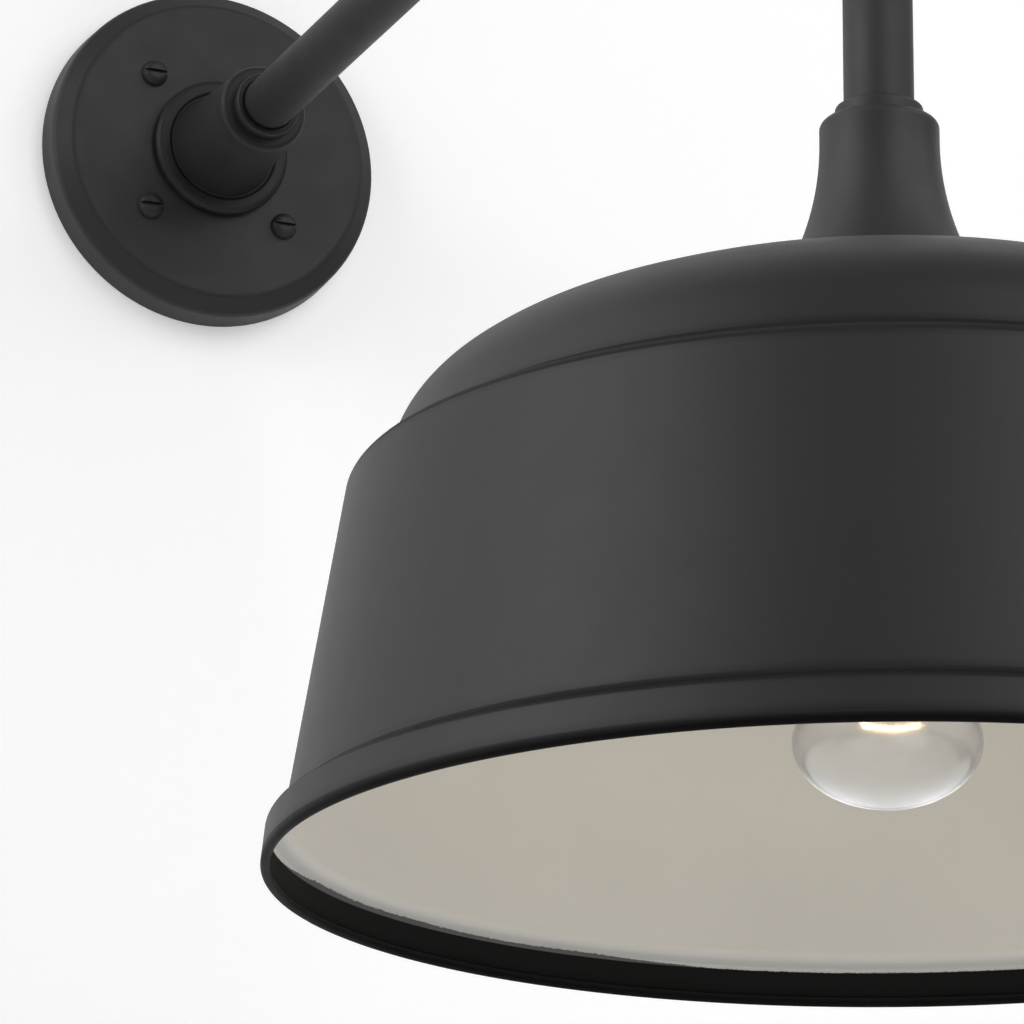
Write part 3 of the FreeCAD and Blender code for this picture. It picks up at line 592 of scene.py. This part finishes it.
def threaded(low, high, radius, step=0.3, fade=1.8):
    """A stretch of outline that carries the thread, which fades in and out at its ends."""
    count = math.ceil(abs(high - low) / step)
    points = []
    for i in range(count + 1):
        z = low + (high - low) * i / count
        depth = min(1, abs(z - low) / fade, abs(z - high) / fade)
        points.append((radius, z, depth))
    return points


def quarter_ellipse(radius, middle_z, drop, steps=28):
    turns = [math.pi / 2 * k / steps for k in range(steps + 1)]
    return [Vector((radius * math.cos(turn), middle_z - drop * math.sin(turn))) for turn in turns]


def build_bulb_glass():
    """Envelope blown in one piece: a neck tucked into the cap, a swelling and a flattened tip."""
    wall, tuck = 0.8, CAP_R - 1.5
    middle = GLASS_TIP + TIP_DROP
    flare, swell = middle + 26.0, middle + 4.8
    outside = rounded([(tuck, CAP_LOW + TUCK), (tuck, CAP_LOW - 0.2, 0.15), (NECK_R, CAP_LOW - 0.2, 0.15),
                       (NECK_R, flare, 22), (BULB_R, swell, 13.8), (BULB_R, middle)], 16)
    outside = split_long(outside, 1.5)[:-1] + quarter_ellipse(BULB_R, middle, TIP_DROP)
    tuck, neck, room = tuck - wall, NECK_R - wall, BULB_R - wall
    inside = rounded([(tuck, CAP_LOW + TUCK), (tuck, CAP_LOW - 1.2), (neck, CAP_LOW - 2.5, 1),
                      (neck, flare - 0.3, 22.8), (room, swell - 0.3, 13), (room, middle)], 16)
    inside = split_long(inside, 1.5)[:-1] + quarter_ellipse(room, middle, TIP_DROP - wall)
    outside[-1].x = inside[-1].x = 0
    shell = lathe("bulb_envelope", outside + inside[::-1], 128, True, ON_SHADE_AXIS)
    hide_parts("bulb_glass")
    finish_piece(shell, "bulb", "bulb_glass", M["bulb_glass"])


def build_bulb_cap():
    """Nickelled cap with a rolled helical thread, one sheet from its skirt to its lip."""
    wall, taper_r = 0.7, 10.5
    start, stop = CAP_LOW + 1.2, CAP_TOP - 1.6
    outside = [(CAP_R - 0.25, CAP_LOW), (CAP_R, CAP_LOW + 0.3)] + threaded(start, stop, CAP_R)
    outside += [(taper_r, CAP_TOP - 0.2), (taper_r - 0.4, CAP_TOP)]
    inside = [(CAP_R - wall, CAP_LOW)] + threaded(start, stop - 0.6, CAP_R - wall)
    inside += [(taper_r - 0.9, CAP_TOP - 0.8), (taper_r - 0.9, CAP_TOP)]
    cap = lathe("bulb_screw_cap", outside + inside[::-1], 128, True, ON_SHADE_AXIS, None, THREAD)
    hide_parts("bulb_cap")
    finish_piece(cap, "bulb", "nickel_plate", M["nickel_plate"])


def build_bulb_end():
    """Black glass disc with a fluted rim, and the soldered contact on it."""
    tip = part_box("bulb_tip")[1][2] / MM
    verts = rounded([(0.0, CAP_TOP - 2), (9.5, CAP_TOP - 2), (9.5, CAP_TOP, 0.5), (5.8, tip - 0.9, 0.8),
                     (4.5, tip - 0.9), (4.5, tip - 2), (0.0, tip - 2)], 5)
    disc = lathe("bulb_end_glass", split_long(verts, 0.7), 96, False, ON_SHADE_AXIS)
    for vertex in disc.data.vertices:
        offset = vertex.co - AXIS
        radius = math.hypot(offset.x, offset.y) / MM
        if 6.0 < radius < 9.2 and vertex.co.z > (CAP_TOP - 1.9) * MM:
            flute = 0.5 - 0.5 * math.cos(24 * math.atan2(offset.y, offset.x))
            vertex.co.z -= 0.22 * MM * flute * math.sin(math.pi * (radius - 6.0) / 3.2)
    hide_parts("bulb_insulator")
    finish_piece(disc, "bulb", "black_insulator", M["black_insulator"])
    solder = [(0.0, tip - 2), (4.4, tip - 2), (4.4, tip - 0.95, 0.3), (4.3, tip - 0.5, 0.5),
              (2.6, tip - 0.05, 1.5), (0.0, tip)]
    blob = lathe("bulb_solder_tip", split_long(rounded(solder, 6), 0.4), 64, False, ON_SHADE_AXIS)
    for vertex in blob.data.vertices:
        offset = vertex.co - AXIS
        if vertex.co.z > (tip - 0.8) * MM:
            lump = math.sin(offset.x * 2100 + 0.7) * math.cos(offset.y * 1700 - 0.4)
            vertex.co.z -= 0.05 * MM * (1 + lump)
    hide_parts("bulb_tip")
    finish_piece(blob, "bulb", "nickel_plate", M["solder"])


FILAMENT_Z = (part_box("bulb_filament")[0][2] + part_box("bulb_filament")[1][2]) / 2
FILAMENT_HALF = (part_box("bulb_filament")[1][0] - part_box("bulb_filament")[0][0]) / 2 - 0.5 * MM


def filament_spots():
    """Ends and supports of the filament, in an open arc that bows towards the wall."""
    low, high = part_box("bulb_filament")
    front, back = low[1] + 0.4 * MM, high[1] - 0.45 * MM
    half = FILAMENT_HALF
    return [Vector((-half, front, FILAMENT_Z)), Vector((-half / 2, back, FILAMENT_Z)),
            Vector((half / 2, back, FILAMENT_Z)), Vector((half, front, FILAMENT_Z))]


def build_filament():
    """Coiled tungsten wire along the arc."""
    spots = filament_spots()
    line = bent_path([(spots[0], 0), (spots[1], 3 * MM), (spots[2], 3 * MM), (spots[3], 0)], 0.2 * MM)
    pitch, coil_r, wire_r, turn_steps = 0.52 * MM, 0.30 * MM, 0.11 * MM, 10
    total = sum((b - a).length for a, b in zip(line, line[1:]))
    count = int(total / pitch * turn_steps)
    path, walked, span = [], 0.0, 0
    for i in range(count + 1):
        goal = total * i / count
        while span < len(line) - 2 and walked + (line[span + 1] - line[span]).length < goal:
            walked += (line[span + 1] - line[span]).length
            span += 1
        along = (line[span + 1] - line[span]).normalized()
        here = line[span] + along * min(goal - walked, (line[span + 1] - line[span]).length)
        flat = along.cross(Vector((0, 0, 1)))
        turn = 2 * math.pi * i / turn_steps
        path.append(here + flat * coil_r * math.cos(turn) + Vector((0, 0, coil_r * math.sin(turn))))
    verts, faces = tube_mesh(path, wire_r, 6)
    piece = link_bars("bulb_coil", verts, faces)
    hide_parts("bulb_filament")
    finish_piece(piece, "bulb", "filament", M["filament"])


def build_bulb_wires():
    """Lead-in and support wires, each bent out from the stem and hooked round the coil."""
    stem_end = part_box("bulb_stem")[0][2]
    verts, faces = [], []
    for i, end in enumerate(filament_spots()):
        inner = i in (1, 2)
        start_z = stem_end + (1.2 if inner else 5.5) * MM
        start_r = (2.3 if inner else 2.9) * MM
        way = Vector((end.x - AXIS.x, end.y - AXIS.y, 0)).normalized()
        start = AXIS + way * start_r + Vector((0, 0, start_z))
        bend = AXIS + way * (start_r + 3 * MM) + Vector((0, 0, start_z - 1.5 * MM))
        stop = end + Vector((0, 0, 0.62 * MM))
        route = bent_path([(start, 0), (bend, 2 * MM), (stop, 0)], 0.5 * MM)
        hook = [end + way * 0.55 * MM * math.sin(t) + Vector((0, 0, 0.55 * MM * math.cos(t)))
                for t in [math.radians(25 * k) for k in range(1, 9)]]
        verts, faces = tube_mesh(route + hook, 0.22 * MM if inner else 0.28 * MM, 8, verts, faces)
    piece = link_bars("bulb_lead_wires", verts, faces)
    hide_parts("bulb_wires")
    finish_piece(piece, "bulb", "bulb_wire", M["bulb_wire"])


def build_bulb_stem():
    """Pressed glass mount: flare, tube, flattened pinch and button."""
    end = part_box("bulb_stem")[0][2] / MM
    line = [(0.0, CAP_LOW + TUCK), (10.7, CAP_LOW + TUCK), (10.7, CAP_LOW + 3, 1), (4.2, CAP_LOW - 3, 3),
            (3.0, end + 6, 2), (1.6, end + 3.5, 1), (1.6, end + 2.4, 0.6), (2.6, end + 1.2, 0.8),
            (1.2, end, 0.4), (0.0, end)]
    stem = lathe("bulb_glass_mount", split_long(rounded(line, 8), 0.8), 64, False, ON_SHADE_AXIS)
    for vertex in stem.data.vertices:
        height = vertex.co.z / MM - end
        if 3.0 < height < 12.0:
            pinch = math.sin(math.pi * (height - 3.0) / 9.0)
            vertex.co.y = AXIS.y + (vertex.co.y - AXIS.y) * (1 - 0.45 * pinch)
    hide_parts("bulb_stem")
    finish_piece(stem, "bulb", "stem_glass", M["stem_glass"])


def build_screw_shell():
    """Thin brass shell of the lampholder, rolled with the same thread as the cap."""
    low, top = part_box("screw_shell")[0][2] / MM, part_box("screw_shell")[1][2] / MM
    wall, crest, flange_r, mouth = 0.5, CAP_R + 1.1, 15.2, 9.2
    inside = [(crest + 0.1, low)] + threaded(low + 0.8, top - 2.2, crest)
    inside += [(crest, top - wall), (mouth, top - wall), (mouth, top)]
    outside = [(flange_r, top), (flange_r, top - 1.2), (crest + wall, top - 1.4)]
    outside += threaded(top - 2.2, low + 0.8, crest + wall) + [(crest + wall + 0.1, low)]
    shell = lathe("brass_screw_shell", inside + outside, 128, True, ON_SHADE_AXIS, None, THREAD)
    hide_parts("screw_shell")
    finish_piece(shell, "lantern", "brass", M["brass"])


build_bulb_glass()
build_bulb_cap()
build_bulb_end()
build_filament()
build_bulb_wires()
build_bulb_stem()
build_screw_shell()


# ---- stage, light and camera ----------------------------------------------------------------

WORLD_LIGHT = 0.1
WORLD_SEEN = 0.8
WALL_GLOW = 0.3
FLOOR_GLOW = 0.15
BULB_POWER = 0.27
LIGHTS = [
    ("left_far_high", (-2.8, -1.0, 1.3), (2.0, 2.0), 46),
    ("front_high", (0.6, -3.2, 1.7), (2.0, 2.0), 30),
    ("front", (0.8, -3.4, 0.3), (2.0, 2.0), 17),
    ("low_front", (0.2, -2.6, -1.7), (1.5, 1.5), 5),
    ("right_high", (2.2, -1.8, 1.6), (1.5, 1.5), 18.5),
    ("left_graze", (-2.8, -0.35, 0.0), (0.6, 2.4), 6),
]


def stage_plane(name, corners, material):
    mesh = bpy.data.meshes.new(name)
    mesh.from_pydata(corners, [], [(0, 1, 2, 3)])
    mesh.materials.append(material)
    plane = bpy.data.objects.new(name, mesh)
    bpy.context.collection.objects.link(plane)
    return plane


def one_sided(n):
    """Clear from behind, so that the lantern's back and underside can be seen through the stage."""
    through = n.node("BsdfTransparent")
    side = n.node("NewGeometry")
    blend = n.node("MixShader")
    n.link(side.outputs["Backfacing"], blend.inputs[0])
    n.link(n.shader.outputs[0], blend.inputs[1])
    n.link(through.outputs[0], blend.inputs[2])
    n.link(blend.outputs[0], n.tree.nodes["Material Output"].inputs["Surface"])
    return n.material


def wall_material():
    n = Nodes("white_wall")
    n.set(Base_Color=(0.90, 0.90, 0.90, 1), Roughness=0.9, Specular_IOR_Level=0.1)
    n.set(Emission_Color=(1, 1, 1, 1), Emission_Strength=WALL_GLOW)
    return one_sided(n)


def floor_material():
    n = Nodes("pale_floor")
    n.link(n.ramp(n.noise(3, 3), [(0.3, (0.80, 0.80, 0.79)), (0.7, (0.84, 0.84, 0.83))]),
           n.shader.inputs["Base Color"])
    n.set(Roughness=0.8, Specular_IOR_Level=0.2)
    n.set(Emission_Color=(1, 1, 1, 1), Emission_Strength=FLOOR_GLOW)
    return one_sided(n)


def area_light(name, place, target, size, power):
    data = bpy.data.lights.new(name, "AREA")
    data.shape = "RECTANGLE"
    data.size, data.size_y = size
    data.energy = power
    light = bpy.data.objects.new(name, data)
    light.location = place
    light.rotation_euler = (Vector(target) - Vector(place)).to_track_quat("-Z", "Y").to_euler()
    bpy.context.collection.objects.link(light)
    return light


def bulb_light(power):
    """The lit bulb's own light, sent out from just under its glass."""
    data = bpy.data.lights.new("bulb_light", "POINT")
    data.shadow_soft_size = 0.012
    data.energy = power
    light = bpy.data.objects.new("bulb_light", data)
    data.color = (1.0, 0.96, 0.90)
    light.location = AXIS + Vector((0, 0, RIM_Z + 0.010))
    light.visible_glossy = False
    light.visible_transmission = False
    bpy.context.collection.objects.link(light)


def build_stage():
    wall_y, reach, floor_z, top_z = 0.0008, 3.5, -2.2, 2.6
    stage_plane("wall", [(-reach, wall_y, floor_z), (reach, wall_y, floor_z), (reach, wall_y, top_z),
                         (-reach, wall_y, top_z)], wall_material())
    stage_plane("floor", [(-reach, -5, floor_z), (reach, -5, floor_z), (reach, 3, floor_z),
                          (-reach, 3, floor_z)], floor_material())
    world = bpy.data.worlds.new("soft_room")
    world.use_nodes = True
    background = world.node_tree.nodes["Background"]
    background.inputs["Color"].default_value = (1, 1, 1, 1)
    rays = world.node_tree.nodes.new("ShaderNodeLightPath")
    seen = world.node_tree.nodes.new("ShaderNodeMapRange")
    seen.inputs["To Min"].default_value = WORLD_LIGHT
    seen.inputs["To Max"].default_value = WORLD_SEEN
    world.node_tree.links.new(rays.outputs["Is Camera Ray"], seen.inputs["Value"])
    world.node_tree.links.new(seen.outputs["Result"], background.inputs["Strength"])
    bpy.context.scene.world = world
    for name, place, size, power in LIGHTS:
        area_light(name, place, (0, -0.4, -0.2), size, power)
    bulb_light(BULB_POWER)


def build_camera():
    """Low on the left, looking up past the plate at the shade's open mouth."""
    data = bpy.data.cameras.new("camera")
    data.lens = 181.77
    data.sensor_width = 36
    data.clip_start, data.clip_end = 0.05, 50
    camera = bpy.data.objects.new("camera", data)
    yaw, pitch, roll = 0.40773, 0.29830, 0.00851
    forward = Vector((math.sin(yaw) * math.cos(pitch), math.cos(yaw) * math.cos(pitch), math.sin(pitch)))
    level = Vector((math.cos(yaw), -math.sin(yaw), 0))
    upright = level.cross(forward)
    right = level * math.cos(roll) + upright * math.sin(roll)
    up = upright * math.cos(roll) - level * math.sin(roll)
    turn = Matrix((right, up, -forward)).transposed()
    camera.matrix_world = Matrix.Translation((-0.7298, -2.0397, -0.8259)) @ turn.to_4x4()
    bpy.context.collection.objects.link(camera)
    bpy.context.scene.camera = camera


build_stage()
build_camera()
bpy.context.scene.view_settings.view_transform = "Standard"
